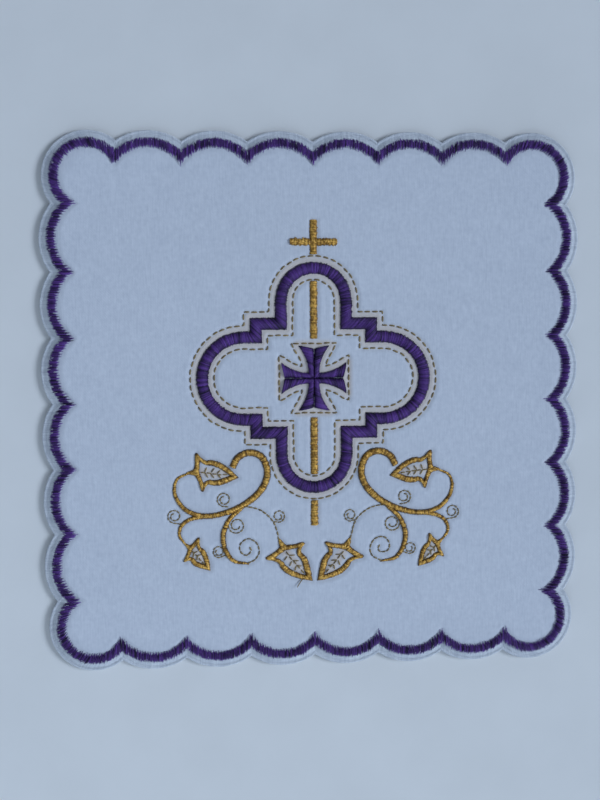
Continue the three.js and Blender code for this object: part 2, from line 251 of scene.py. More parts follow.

# How threads vary in tone: the middle tone, the spread, the share of the spread that neighbours have in
# common, and painted shade along each stitch, darker at its ends and lighter on its top (the band's the other
# way round)
PLAIN_TONES = {"middle": 0.5, "varied": 0.25, "clumped": 0.3, "painted_shade": 0.0}
BAND_TONES = {"middle": 0.62, "varied": 0.25, "clumped": 0.1, "painted_shade": -0.6}
ORNAMENT_TONES = {"middle": 0.36, "varied": 0.25, "clumped": 0.3, "painted_shade": 0.45}
# The cross's gold has a higher middle tone than the vines': a painted highlight
CROSS_TONES = {"middle": 0.6, "varied": 0.12, "clumped": 0.0, "painted_shade": 0.2}
VINE_TONES = {"middle": 0.43, "varied": 0.16, "clumped": 0.0, "painted_shade": 0.8}
CLUMP = 4
PAINTED_SHADE_LEVEL = 0.6

# The rim's section from the underside to the face, with a groove inside its outer bead: out from the band's
# outer edge, and up
RIM_SECTION = [(1.90, 0.0), (2.10, 0.30), (2.13, 0.80), (2.04, 1.22), (1.85, 1.36), (1.42, 1.14),
               (1.00, 1.32), (0.50, 1.62), (0.15, 1.92)]
# The white stitches over the rim, from under the band to the edge, measured in the same way
RIM_STITCH = [(-0.6, 2.0), (0.1, 2.05), (0.5, 1.80), (1.0, 1.50), (1.42, 1.32), (1.85, 1.53), (2.10, 1.42),
              (2.20, 1.0), (2.16, 0.4)]

# The cloth's middle is a grid of small cells, and rings join it to the scallops. Underneath, rings are
# shares of the edge
GRID_CELL = 0.5
GRID_CELLS = (184, 224)
CORNER_STEPS = (10, 8)
SCALLOP_STEPS = tuple((GRID_CELLS[1 - i] - 2 * CORNER_STEPS[i]) // SCALLOPS_PER_SIDE for i in (0, 1))
UNDERSIDE_RINGS = (0.3, 0.65)
EDGE_RINGS = (-0.3, -1.0, -1.8, -2.4, -2.8)
PLAIN_INSET = 10.7
PLAIN_RINGS = 8
JOINING_RINGS = 26

# How the stitching draws the cloth down and how it puffs up beside it, and the painted highlight on the cloth
# near it
LINE_PITCH = 0.5
PULL_DEPTH = 0.24
PULL_REACH = 0.65
PUFF_HEIGHT = 0.06
PUFF_AWAY = 1.3
PUFF_REACH = 0.7
PAINTED_HIGHLIGHT_SHARE = 0.6
PAINTED_HIGHLIGHT_POWER = 4
# The cloth's low waves: height, length, heading in degrees and phase
SWAYS = [(0.10, 71.0, 20.0, 0.4), (0.07, 47.0, 105.0, 1.9), (0.05, 33.0, 65.0, 4.1)]

# Looks of the cloth: the weave, noises with their scales a metre and their shares in the tone, and bumps
# as strengths and depths
WEAVE_PERIOD = 0.46
WEAVE_SCALE = 900.0
WEAVE_WANDER = 1.6
WEAVE_SHARE = 0.03
WEAVE_BUMP = (0.3, 0.06 * MM)
SLUB_SCALES = (2200.0, 240.0, 1.0)
SLUB_SHARE = 0.44
SLUB_BUMP = (0.07, 0.15 * MM)
MOTTLE_SCALE = 200.0
MOTTLE_SHARE = 0.18
GRAIN_SCALE = 800.0
GRAIN_SHARE = 0.38
CLOTH_TONES = [(0.30, (0.570, 0.602, 0.668)), (0.70, (0.712, 0.740, 0.799))]
# The painted highlight's colour, lighter and warmer than the cloth
PAINTED_HIGHLIGHT_COLOUR = (0.78, 0.63, 0.50, 1)

# Looks of thread: how a stitch's tone becomes a place on its ramp, the middle of the noise that specks it,
# and how its two plies show
TONE_SHARE = 0.7
TONE_BASE = 0.15
NOISE_MIDDLE = 0.5
PLIES = 2
PLY_SHARE = 0.06
PLY_BUMP = (0.3, 0.05 * MM)

# Camera, fitted to the cusps of the scallops in the photo (600 by 800 pixels), with its turns in degrees
CAMERA_PLACE = (-33.92, 22.92, 357.45)
CAMERA_TURN = (3.61, 4.769, 0.641)
CAMERA_LENS = 54.0
CAMERA_SENSOR = 36.0
CAMERA_NEAR = 0.01

# Floor and lights, in metres, and the tones of the room by height from the horizon to overhead
FLOOR_SIZE = 6
FLOOR_DROP = 0.00005
FLOOR_SCALE = 40.0
FLOOR_TONES = [(0.3, (0.785, 0.778, 0.755)), (0.7, (0.825, 0.818, 0.795))]
KEY_PLACE = (2.7, 0.2, 2.05)
KEY_DEGREES = 26
KEY_ENERGY = 1.80
KEY_COLOUR = (0.69, 0.812, 1.0)
FILL_PLACE = (-0.14, -0.64, 0.42)
FILL_SIZE = 1.0
FILL_ENERGY = 2.75
FILL_COLOUR = (0.63, 0.79, 1.0)
ROOM_TONES = [(0.25, (0.40, 0.48, 0.60)), (0.45, (0.125, 0.156, 0.205))]


def turned(points, degrees):
    """Points turned anticlockwise about the origin."""
    a = math.radians(degrees)
    return np.asarray(points) @ np.array([[math.cos(a), math.sin(a)], [-math.sin(a), math.cos(a)]])


def on_circle(centre, radius, angles):
    return np.asarray(centre) + np.asarray(radius)[..., None] * np.stack([np.cos(angles), np.sin(angles)], -1)


def edge_lobes():
    """The lobes of the edge, anticlockwise from the right side's lowest scallop, each with its steps."""
    lobes = []
    for side, quarter in enumerate(((1, 1), (-1, 1), (-1, -1), (1, -1))):
        for i in range(SCALLOPS_PER_SIDE):
            along = (i - (SCALLOPS_PER_SIDE - 1) / 2) * SCALLOP_PITCH
            centre = turned((CRESTS[side % 2] - SCALLOP_RADIUS, along), 90 * side)
            lobes.append((centre, SCALLOP_RADIUS, SCALLOP_STEPS[side % 2]))
        lobes.append((np.array(CORNER_CENTRE) * quarter, CORNER_RADIUS, sum(CORNER_STEPS)))
    return lobes


LOBES = edge_lobes()


def corner_after(side):
    """The index of the corner lobe that follows a side."""
    return side * (SCALLOPS_PER_SIDE + 1) + SCALLOPS_PER_SIDE


def cusp(index, out):
    """Where a lobe and the one after it, both grown by out, cross on the outer side."""
    (c1, r1, _), (c2, r2, _) = LOBES[index], LOBES[(index + 1) % len(LOBES)]
    between = c2 - c1
    distance = np.hypot(*between)
    along = ((r1 + out) ** 2 - (r2 + out) ** 2 + distance ** 2) / (2 * distance)
    away = math.sqrt((r1 + out) ** 2 - along ** 2)
    x, y = between / distance
    return c1 + along * np.array([x, y]) + away * np.array([y, -x])


def sweep_of(index, out):
    """The angles between which a lobe, grown by out, shows on the edge."""
    start, finish = (math.atan2(*(cusp(i, out) - LOBES[index][0])[::-1]) for i in (index - 1, index))
    return start, start + (finish - start) % (2 * math.pi)


def scallop_ring(out, finer=1):
    """The scalloped edge, grown by out, as an anticlockwise ring of points."""
    ring = []
    for index, (centre, radius, steps) in enumerate(LOBES):
        angles = np.linspace(*sweep_of(index, out), steps * finer, endpoint=False)
        ring.append(on_circle(centre, radius + out, angles))
    return np.concatenate(ring)


def plain_ring():
    """A rectangle with round corners just inside the cusps, with the same points as a scalloped ring."""
    ends = SCALLOPS_PER_SIDE * SCALLOP_PITCH / 2
    ring = []
    for side in range(4):
        near, far = (CRESTS[i] - PLAIN_INSET for i in (side % 2, 1 - side % 2))
        along = np.linspace(-ends, ends, SCALLOPS_PER_SIDE * SCALLOP_STEPS[side % 2], endpoint=False)
        angles = np.pi / 2 * np.arange(sum(CORNER_STEPS)) / sum(CORNER_STEPS)
        bend = ends + np.array([near - ends, far - ends]) * on_circle((0, 0), 1.0, angles)
        straight = np.stack([np.full_like(along, near), along], 1)
        ring.append(turned(np.concatenate([straight, bend]), 90 * side))
    return np.concatenate(ring)


def side_lines(side, pitch):
    """Lines square to one side, along the middle of its band, and the lobes that they cross."""
    corner = corner_after(side)
    ends = (corner - SCALLOPS_PER_SIDE - 1, corner - 1)
    first, last = (turned(cusp(i, BAND_MIDDLE), -90 * side)[1] for i in ends)
    y = np.arange(first + pitch / 2, last, pitch)
    half = SCALLOPS_PER_SIDE / 2
    nearest = np.clip(np.floor(y / SCALLOP_PITCH), -half, half - 1)
    centre_x = np.full_like(y, CRESTS[side % 2] - SCALLOP_RADIUS)
    centre = np.stack([centre_x, (nearest + 0.5) * SCALLOP_PITCH], 1)
    x = centre[:, 0] + np.sqrt((SCALLOP_RADIUS + BAND_MIDDLE) ** 2 - (y - centre[:, 1]) ** 2)
    start = turned(np.stack([x, y], 1), 90 * side)
    ahead = turned(np.tile((1.0, 0.0), (len(y), 1)), 90 * side)
    return start, ahead, turned(centre, 90 * side), np.full_like(y, SCALLOP_RADIUS)


def corner_lines(side, pitch):
    """Lines round the corner after one side, which turn from that side's direction to the next one's."""
    corner = corner_after(side)
    centre = LOBES[corner][0]
    low, high = sweep_of(corner, BAND_MIDDLE)
    count = round((high - low) * (CORNER_RADIUS + BAND_MIDDLE) / pitch)
    share = (np.arange(count) + 0.5) / count
    radial = low + (high - low) * share
    start = on_circle(centre, CORNER_RADIUS + BAND_MIDDLE, radial)
    aside = (np.pi / 2 * (side + share) - radial + np.pi) % (2 * np.pi) - np.pi
    ahead = on_circle((0, 0), 1.0, radial + np.clip(aside, -STITCH_LEAN, STITCH_LEAN))
    return start, ahead, np.tile(centre, (count, 1)), np.full(count, CORNER_RADIUS)


class EdgeLines:
    """The lines that the edge's stitches follow: square to each side, and turning round the corners."""

    def __init__(self, pitch):
        groups = []
        for side in range(4):
            groups += [side_lines(side, pitch), corner_lines(side, pitch)]
        self.start, self.ahead, self.centre, self.radius = (np.concatenate(group) for group in zip(*groups))

    def chosen(self, rng, share):
        """A random share of the lines."""
        some = copy.copy(self)
        keep = rng.uniform(size=len(self.radius)) < share
        some.start, some.ahead, some.centre, some.radius = (
            values[keep] for values in (self.start, self.ahead, self.centre, self.radius))
        return some

    def at(self, out):
        """The point of each line that lies on the edge grown by out (one number, or one a line)."""
        to_start = self.start - self.centre
        b = (to_start * self.ahead).sum(1)
        reach = np.sqrt(b ** 2 - (to_start ** 2).sum(1) + (self.radius + out) ** 2)
        return self.start + (reach - b)[:, None] * self.ahead


def foil_ring(out, lobe_steps=60):
    """The quatrefoil's outline, grown by out, as an anticlockwise ring of points."""
    halves = (FOIL_HALF_WIDTH + out, FOIL_HALF_HEIGHT + out)
    ring = []
    for side, lobe in enumerate((SIDE_LOBE, TOP_LOBE, SIDE_LOBE, TOP_LOBE)):
        near, barb = halves[side % 2], halves[1 - side % 2]
        grown = lobe["radius"] + out
        arc = on_circle((lobe["reach"], 0), grown, np.linspace(-np.pi / 2, np.pi / 2, lobe_steps))
        ring.append(turned(np.concatenate([[(near, -grown)], arc, [(near, grown), (near, barb)]]), 90 * side))
    return np.concatenate(ring) + (0, FOIL_Y)


def lengths_along(points):
    """The length of a route from its start to each of its points."""
    return np.concatenate([[0], np.cumsum(np.hypot(*np.diff(points, axis=0).T))])


def along_route(points, lengths, where):
    """The points of a route at some lengths along it."""
    return np.stack([np.interp(where, lengths, points[:, 0]), np.interp(where, lengths, points[:, 1])], 1)


def evenly(points, count):
    """A route as a number of evenly spaced points."""
    lengths = lengths_along(points)
    return along_route(points, lengths, np.linspace(0, lengths[-1], count))


def spaced(points, pitch):
    """A route as points about a pitch apart."""
    return evenly(points, max(2, round(lengths_along(points)[-1] / pitch)))


def smooth_route(points, count, fineness=24):
    """An evenly spaced centripetal Catmull-Rom curve through points, as in the part's source."""
    p = np.asarray(points, float)
    p = np.concatenate([[2 * p[0] - p[1]], p, [2 * p[-1] - p[-2]]])
    t = np.linspace(0, 1, fineness, endpoint=False)[:, None]
    fine = []
    for p0, p1, p2, p3 in zip(p, p[1:], p[2:], p[3:]):
        d0, d1, d2 = (np.sqrt(np.hypot(*(b - a))) for a, b in ((p0, p1), (p1, p2), (p2, p3)))
        m1 = ((p1 - p0) / d0 - (p2 - p0) / (d0 + d1) + (p2 - p1) / d1) * d1
        m2 = ((p2 - p1) / d1 - (p3 - p1) / (d1 + d2) + (p3 - p2) / d2) * d1
        fine.append(p1 + m1 * t + (3 * (p2 - p1) - 2 * m1 - m2) * t ** 2 + (2 * (p1 - p2) + m1 + m2) * t ** 3)
    return evenly(np.concatenate([*fine, p[-2:-1]]), count)


def left_of(points):
    """The direction to the left of a route at each of its points."""
    tangent = np.gradient(points, axis=0)
    tangent /= np.hypot(*tangent.T)[:, None]
    return np.stack([-tangent[:, 1], tangent[:, 0]], 1)


def closed(ring):
    return np.concatenate([ring, ring[:1]])


def placed(points, side):
    """Points given outwards and up, on the right (side 1) or left (side -1) of the embroidery's axis."""
    return np.asarray(points, float) * (side, 1)


def half_edge(stretches, steps=20):
    """One half of a leaf's edge, from its stalk, as points along it and out to the side."""
    here = np.zeros(2)
    t = np.linspace(0, 1, steps, endpoint=False)[:, None]
    edge = []
    for stretch in stretches:
        first, second = (np.array(pull) for pull in stretch["pulls"])
        end = np.array(stretch["end"])
        pulled = first * 3 * t * (1 - t) ** 2 + second * 3 * t ** 2 * (1 - t)
        edge.append(here * (1 - t) ** 3 + pulled + end * t ** 3)
        here = end
    return np.concatenate([*edge, [here]])


LEAF_EDGE = half_edge(LEAF_OUTLINE)
LEAF_INSIDE = half_edge(LEAF_OPENING)


def on_leaf(leaf, shares, side):
    """Points of a leaf, from shares of its length along and across it."""
    along, across = np.asarray(shares, float).T
    leant = along + leaf["lean"] * across * (1 - along)
    bowed = across + leaf["bow"] * 4 * along * (1 - along)
    local = turned(np.stack([leant, bowed], 1) * leaf["length"], leaf["angle"])
    return placed(local + (leaf["out"], leaf["up"]), side)


def flare_edge(count=40):
    """One side of the flared cross's right arm, from the waist to its end."""
    t = np.linspace(0, 1, count)[:, None]
    waist = np.array([FLARE_HALF_WAIST, FLARE_HALF_WAIST])
    pull = np.array([(FLARE_ARM + FLARE_HALF_WAIST) / 2, FLARE_HALF_WAIST])
    end = np.array([FLARE_ARM, FLARE_HALF_END])
    return waist * (1 - t) ** 2 + pull * 2 * t * (1 - t) + end * t ** 2


def flare_outline(gap, end_points=9):
    """A loop round the flared cross, a little way outside it."""
    edge = flare_edge() + gap * left_of(flare_edge())
    edge = edge[edge[:, 0] >= edge[:, 1]]
    tip = edge[-1] + gap * np.array(FLARE_TIP)
    across = np.linspace(1, 0, end_points)[:, None]
    hollow = np.array([FLARE_ARM - FLARE_END_DIP + gap, 0]) * (1 - across ** 2) + (tip[0], 0) * across ** 2
    half = np.concatenate([edge, hollow + (0, tip[1]) * across])
    arm = np.concatenate([half * (1, -1), half[-2::-1]])
    loop = np.concatenate([turned(arm, 90 * turn) for turn in range(4)])
    return closed(loop) + (0, FOIL_Y)


# The outlines in running stitch, which also pull the cloth down
OUTLINES = [
    closed(foil_ring(OUTLINE_GAP)),
    closed(foil_ring(-FOIL_RIBBON - OUTLINE_GAP)),
    flare_outline(OUTLINE_GAP),
]


def curl_route(curl, side):
    """A curl: a short straight tail from its root, and a spiral that winds inwards."""
    t = np.linspace(0, 1, CURL_POINTS)
    hand = math.copysign(1, curl["turns"])
    heading = math.radians(curl["heading"])
    root = np.array([curl["out"], curl["up"]])
    bend = root + curl["tail"] * np.array([math.cos(heading), math.sin(heading)])
    centre = on_circle(bend, curl["radius"], heading + hand * np.pi / 2)
    angles = heading - hand * np.pi / 2 + 2 * np.pi * curl["turns"] * t
    spiral = on_circle(centre, curl["radius"] * (1 - CURL_LOSS * t ** CURL_POWER), angles)
    return placed(np.concatenate([[root], spiral]), side)


def cross_stretches():
    """The low and high ends of the four stretches of the gold cross's shaft that are in sight."""
    top = FOIL_Y + TOP_LOBE["reach"] + TOP_LOBE["radius"]
    bottom = FOIL_Y - TOP_LOBE["reach"] - TOP_LOBE["radius"]
    inside = FOIL_RIBBON + SHAFT_CLEARANCE
    flare = FLARE_ARM + SHAFT_CLEARANCE
    return [
        (top + SHAFT_CLEARANCE, CROSS_TOP_Y),
        (FOIL_Y + flare, top - inside),
        (bottom + inside, FOIL_Y - flare),
        (CROSS_FOOT_Y, bottom - SHAFT_CLEARANCE),
    ]


def pulled_lines():
    """Points along the stitching that draws the cloth down."""
    lines = [*OUTLINES, closed(foil_ring(0.0)), closed(foil_ring(-FOIL_RIBBON))]
    half = SHAFT_WIDTH / 2
    for low, high in cross_stretches():
        lines += [np.array([(x, low), (x, high)]) for x in (-half, half)]
    for turn in range(4):
        for flip in (1, -1):
            lines.append(turned(flare_edge() * (1, flip), 90 * turn) + (0, FOIL_Y))
    for side in (1, -1):
        lines += [smooth_route(placed(stem["points"], side), ROUTE_POINTS) for stem in STEMS + THIN_STEMS]
        lines += [curl_route(curl, side) for curl in CURLS]
        for leaf in LEAVES:
            for flip in (1, -1):
                lines.append(on_leaf(leaf, LEAF_EDGE * (1, flip), side))
                lines.append(on_leaf(leaf, LEAF_INSIDE * (1, flip), side))
    return np.concatenate([spaced(line, LINE_PITCH) for line in lines] + [scallop_ring(-BAND_WIDTH, 2)])


def painted_highlight_lines():
    """Points along the edges of the purple ornaments and inside the leaves, where the cloth gets a painted
    highlight.
    """
    lines = [closed(foil_ring(0.0)), closed(foil_ring(-FOIL_RIBBON))]
    lines += [on_leaf(leaf, LEAF_PAINTED_HIGHLIGHT, side) for leaf in LEAVES for side in (1, -1)]
    for turn in range(4):
        arm = np.concatenate([flare_edge(), flare_edge()[::-1] * (1, -1)])
        lines.append(turned(arm, 90 * turn) + (0, FOIL_Y))
    return np.concatenate([spaced(line, LINE_PITCH) for line in lines])


def tree_of(points):
    """A search tree of flat points."""
    tree = KDTree(len(points))
    for i, (x, y) in enumerate(points):
        tree.insert((x, y, 0), i)
    tree.balance()
    return tree


PULL_TREE = tree_of(pulled_lines())
PAINTED_HIGHLIGHT_TREE = tree_of(painted_highlight_lines())


def apart_from(tree, points):
    """How far each point is from the nearest one in a tree."""
    return np.array([tree.find((x, y, 0))[2] for x, y in points])


def face_height(points):
    """Height of the cloth's face: a little wavy, drawn down along the stitching and puffed beside it."""
    flat = np.asarray(points).reshape(-1, 2)
    height = np.full(len(flat), FACE_HEIGHT)
    for amount, wave, heading, phase in SWAYS:
        a = math.radians(heading)
        height += amount * np.sin(2 * np.pi * (flat @ (math.cos(a), math.sin(a))) / wave + phase)
    apart = apart_from(PULL_TREE, flat)
    height -= PULL_DEPTH * np.exp(-(apart / PULL_REACH) ** 2)
    height += PUFF_HEIGHT * np.exp(-((apart - PUFF_AWAY) / PUFF_REACH) ** 2)
    return height.reshape(np.shape(points)[:-1])


def mesh_object(name, vertices, faces, material, attributes=()):
    """A smooth mesh of one material, with an attribute on its points for each label and its values."""
    mesh = bpy.data.meshes.new(name)
    mesh.from_pydata((np.asarray(vertices) * MM).tolist(), [], faces)
    for label, values in attributes:
        layer = mesh.attributes.new(label, "FLOAT", "POINT")
        layer.data.foreach_set("value", np.asarray(values, np.float32))
    mesh.polygons.foreach_set("use_smooth", [True] * len(mesh.polygons))
    mesh.materials.append(material)
    mesh.update()
    piece = bpy.data.objects.new(name, mesh)
    bpy.context.collection.objects.link(piece)
    return piece


def arch(steps):
    """How far up the padding a stitch is at each step along it, from 0 at the needle holes to 1."""
    return 1 - np.abs(np.linspace(-1, 1, steps)) ** ARCH_POWER


def tube_rings(paths):
    """The ring of a flattened tube of radius 1 at each step of each path, measured from the path."""
    tangent = np.gradient(paths, axis=1)
    tangent /= np.linalg.norm(tangent, axis=2, keepdims=True)
    across = np.cross(tangent, (0.0, 0.0, 1.0))
    across /= np.maximum(np.linalg.norm(across, axis=2, keepdims=True), TINY)
    above = np.cross(across, tangent)
    angles = 2 * np.pi * (np.arange(TUBE_SIDES) + 0.5) / TUBE_SIDES - np.pi / 2
    return (np.cos(angles)[:, None] * across[:, :, None, :] * TUBE_WIDEN
            + np.sin(angles)[:, None] * above[:, :, None, :] * TUBE_FLATTEN)


class Stitching:
    """Threads that are joined into one mesh. Each has its own tone, and a ply phase along and round it."""

    def __init__(self, middle, varied, clumped, painted_shade):
        self.middle, self.varied, self.clumped, self.painted_shade = middle, varied, clumped, painted_shade
        self.vertices, self.faces, self.tones, self.plies = [], [], [], []
        self.count = 0

    def drawn_tones(self, threads, steps):
        """A tone for each step of each thread: its own random tone, with painted shade along it."""
        shared = np.convolve(RNG.normal(0, 1, threads + CLUMP - 1), np.ones(CLUMP) / CLUMP ** 0.5, "valid")
        own = RNG.normal(0, 1, threads)
        tone = self.middle + self.varied * (self.clumped * shared + (1 - self.clumped) * own)
        # Painted shade along the stitch: darker at its needle holes and lighter on its top, the reverse where
        # the amount is negative
        return tone[:, None, None] + self.painted_shade * (arch(steps)[:, None] - PAINTED_SHADE_LEVEL)

    def add(self, paths, radius, tip=TUBE_END):
        """Adds a thread along each path. At its ends only a share of its radius is left, the tip."""
        paths = np.asarray(paths, float)
        threads, steps, _ = paths.shape
        thickness = np.full(steps, radius)
        thickness[[0, -1]] *= tip
        tube = paths[:, :, None, :] + thickness[:, None, None] * tube_rings(paths)

        first = self.count + np.arange(threads)[:, None, None] * steps * TUBE_SIDES
        low = first + np.arange(steps - 1)[:, None] * TUBE_SIDES
        i = np.arange(TUBE_SIDES)
        j = (i + 1) % TUBE_SIDES
        quads = np.stack([low + i, low + j, low + TUBE_SIDES + j, low + TUBE_SIDES + i], -1)
        self.faces += quads.reshape(-1, 4).tolist()
        self.faces += (first[:, 0] + i[::-1]).tolist()
        self.faces += (first[:, 0] + (steps - 1) * TUBE_SIDES + i).tolist()

        length = np.linalg.norm(np.diff(paths, axis=1), axis=2).cumsum(1)
        length = np.concatenate([np.zeros((threads, 1)), length], 1)[:, :, None]
        ply = length / PLY_LENGTH + i / TUBE_SIDES
        tone = np.broadcast_to(self.drawn_tones(threads, steps), ply.shape)
        self.vertices.append(tube.reshape(-1, 3))
        self.tones.append(tone.reshape(-1))
        self.plies.append(ply.reshape(-1))
        self.count += tube.size // 3

    def piece(self, name, material, slot, *nodes):
        """The piece that these threads make, in the place of some nodes of the part or of none."""
        attributes = [("tone", np.concatenate(self.tones)), ("ply", np.concatenate(self.plies))]
        made = mesh_object(name, np.concatenate(self.vertices), self.faces, material, attributes)
        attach(made, "root")
        if nodes:
            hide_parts(*nodes)
        return made


def straight_stitches(a, b, rise):
    """Stitches from each point a to its point b, arched over the padding between them."""
    t = np.linspace(0, 1, STITCH_STEPS)[None, :, None]
    flat = a[:, None, :] * (1 - t) + b[:, None, :] * t
    ends = np.stack([face_height(a), face_height(b)], 1)
    base = ends[:, :1] * (1 - t[..., 0]) + ends[:, 1:] * t[..., 0]
    lift = arch(STITCH_STEPS)[None, :]
    height = base + lift * rise[:, None] - (1 - lift) * STITCH_SINK
    return np.concatenate([flat, height[..., None]], 2)


def satin(left, right, pitch, rise, rough, beyond=(0.0, 0.0)):
    """Close satin stitches between two edges that run side by side, or to a little way beyond them."""
    middle = (left + right) / 2
    lengths = lengths_along(middle)
    count = max(2, round(lengths[-1] / pitch))
    where = np.linspace(0, lengths[-1], count)
    a, b = along_route(left, lengths, where), along_route(right, lengths, where)
    across = b - a
    span = np.maximum(np.hypot(*across.T), LEAST_SPAN)[:, None]
    a = a - across / span * RNG.normal(beyond[0], rough, (count, 1))
    b = b + across / span * RNG.normal(beyond[1], rough, (count, 1))
    tall = rise * np.clip(span[:, 0] / FULL_SPAN, LEAST_RISE, 1.0) * RNG.uniform(*RISE_SPREAD, count)
    return straight_stitches(a, b, tall)


def running(route, run):
    """Running stitches along a route, each dipping into the cloth at its ends."""
    lengths = lengths_along(route)
    count = max(1, round(lengths[-1] / run["pitch"]))
    start = np.arange(count) * lengths[-1] / count
    where = start[:, None] + np.linspace(0, run["share"], RUN_STEPS)[None, :] * lengths[-1] / count
    flat = along_route(route, lengths, where.reshape(-1)).reshape(count, RUN_STEPS, 2)
    flat = flat + RNG.normal(0, run["wander"], (count, 1, 2))
    lift = arch(RUN_STEPS)
    height = face_height(flat) + lift * RUN_RISE - (1 - lift) * RUN_SINK
    return np.concatenate([flat, height[..., None]], 2)


def node_material(name, **settings):
    """A new material and its shader, with sockets set by name (an underscore stands for a space)."""
    material = bpy.data.materials.new(name)
    material.use_nodes = True
    shader = material.node_tree.nodes["Principled BSDF"]
    for socket, value in settings.items():
        shader.inputs[socket.replace("_", " ")].default_value = value
    return material, shader


class Nodes:
    """Short calls for the nodes of a material or a world."""

    def __init__(self, owner):
        self.tree = owner.node_tree

    def new(self, kind, inputs=(), **settings):
        node = self.tree.nodes.new(kind)
        for key, value in settings.items():
            setattr(node, key, value)
        for socket, value in dict(inputs).items():
            if isinstance(value, bpy.types.NodeSocket):
                self.tree.links.new(value, node.inputs[socket])
            else:
                node.inputs[socket].default_value = value
        return node

    def place(self, kind="Object"):
        return self.new("ShaderNodeTexCoord").outputs[kind]

    def axes(self, place):
        return self.new("ShaderNodeSeparateXYZ", {0: place}).outputs

    def attribute(self, name):
        return self.new("ShaderNodeAttribute", attribute_name=name).outputs["Fac"]

    def noise(self, place, scale, detail):
        inputs = {"Vector": place, "Scale": scale, "Detail": detail}
        return self.new("ShaderNodeTexNoise", inputs).outputs["Fac"]

    def math(self, operation, a, b=0.0, c=0.0):
        return self.new("ShaderNodeMath", {0: a, 1: b, 2: c}, operation=operation).outputs[0]

    def ramp(self, value, *stops):
        node = self.new("ShaderNodeValToRGB", {0: value})
        elements = node.color_ramp.elements
        while len(elements) < len(stops):
            elements.new(0.5)
        for element, (place, colour) in zip(elements, stops):
            element.position = place
            element.color = (*colour, 1)
        return node.outputs[0]

    def bump(self, height, strength, distance, after=None):
        inputs = {"Strength": strength, "Distance": distance, "Height": height}
        if after is not None:
            inputs["Normal"] = after
        return self.new("ShaderNodeBump", inputs).outputs[0]

    def link(self, socket, target):
        self.tree.links.new(socket, target)


def cloth_material():
    """White cotton: a fine plain weave with uneven threads that run up it, a grain, a faint mottle, and a
    painted highlight.
    """
    material, shader = node_material("white_cloth", Roughness=0.88, Sheen_Weight=0.12, Sheen_Roughness=0.5)
    n = Nodes(material)
    place = n.place()
    axes = n.axes(place)
    turns = 2 * math.pi / (WEAVE_PERIOD * MM)
    shift = n.math("MULTIPLY", n.noise(place, WEAVE_SCALE, detail=2.0), WEAVE_WANDER)
    warp, weft = (n.math("SINE", n.math("ADD", n.math("MULTIPLY", axes[axis], turns), shift))
                  for axis in "XY")
    weave = n.math("MULTIPLY", warp, weft)
    stretched = n.new("ShaderNodeMapping", {"Vector": place, "Scale": SLUB_SCALES}).outputs[0]
    slubs = n.noise(stretched, scale=1.0, detail=3.0)
    mottle = n.noise(place, MOTTLE_SCALE, detail=3.0)
    grain = n.noise(place, GRAIN_SCALE, detail=2.0)
    tone = n.math("MULTIPLY", slubs, SLUB_SHARE)
    for part, share in ((mottle, MOTTLE_SHARE), (grain, GRAIN_SHARE), (weave, WEAVE_SHARE)):
        tone = n.math("ADD", tone, n.math("MULTIPLY", part, share))
    # Painted highlight: near the purple work and inside the leaves the cloth is mixed towards a lighter,
    # warmer colour
    tinted = {"Fac": n.attribute("painted_highlight"), "Color1": n.ramp(tone, *CLOTH_TONES), "Color2": PAINTED_HIGHLIGHT_COLOUR}
    n.link(n.new("ShaderNodeMixRGB", tinted).outputs[0], shader.inputs["Base Color"])
    soft = n.bump(slubs, *SLUB_BUMP)
    n.link(n.bump(weave, *WEAVE_BUMP, soft), shader.inputs["Normal"])
    return material


def thread_material(name, *tones, roughness, metallic=0.0, sheen=0.15, gloss=0.5, speck=260.0, specked=0.3):
    """Twisted embroidery thread: each stitch has its own tone, with specks that on the gold are painted
    glints, and plies wind along it.
    """
    material, shader = node_material(name, Roughness=roughness, Metallic=metallic, Sheen_Weight=sheen,
                                     Sheen_Roughness=0.3, Specular_IOR_Level=gloss)
    n = Nodes(material)
    tone = n.math("MULTIPLY_ADD", n.attribute("tone"), TONE_SHARE, TONE_BASE)
    # Specks: a random tone, which on the gold, strong and fine, is a painted glint
    drift = n.math("SUBTRACT", n.noise(n.place(), speck, detail=3.0), NOISE_MIDDLE)
    plies = n.math("SINE", n.math("MULTIPLY", n.attribute("ply"), PLIES * 2 * math.pi))
    for part, share in ((drift, specked), (plies, PLY_SHARE)):
        tone = n.math("ADD", tone, n.math("MULTIPLY", part, share))
    n.link(n.ramp(tone, *tones), shader.inputs["Base Color"])
    n.link(n.bump(plies, *PLY_BUMP), shader.inputs["Normal"])
    return material


CLOTH = cloth_material()
WHITE_THREAD = thread_material(
    "white_thread", (0.2, (0.58, 0.61, 0.66)), (0.8, (0.74, 0.765, 0.80)), roughness=0.55)
PURPLE_THREAD = thread_material(
    "purple_thread", (0.2, (0.007, 0.002, 0.023)), (0.8, (0.140, 0.052, 0.300)),
    roughness=0.42, sheen=0.03, gloss=0.28)
# The gold's strong, fine specks are painted glints
GOLD_THREAD = thread_material(
    "gold_thread", (0.2, (0.085, 0.036, 0.006)), (0.5, (0.35, 0.168, 0.021)), (0.85, (0.97, 0.575, 0.125)),
    roughness=0.38, metallic=0.4, speck=1400.0, specked=1.15)
# The running stitch's gold, painted darker than the satin's: painted shade on the thin thread
PAINTED_SHADE_GOLD_THREAD = thread_material(
    "painted_shade_gold_thread", (0.2, (0.175, 0.12, 0.045)), (0.8, (0.38, 0.265, 0.10)), roughness=0.5, metallic=0.3)


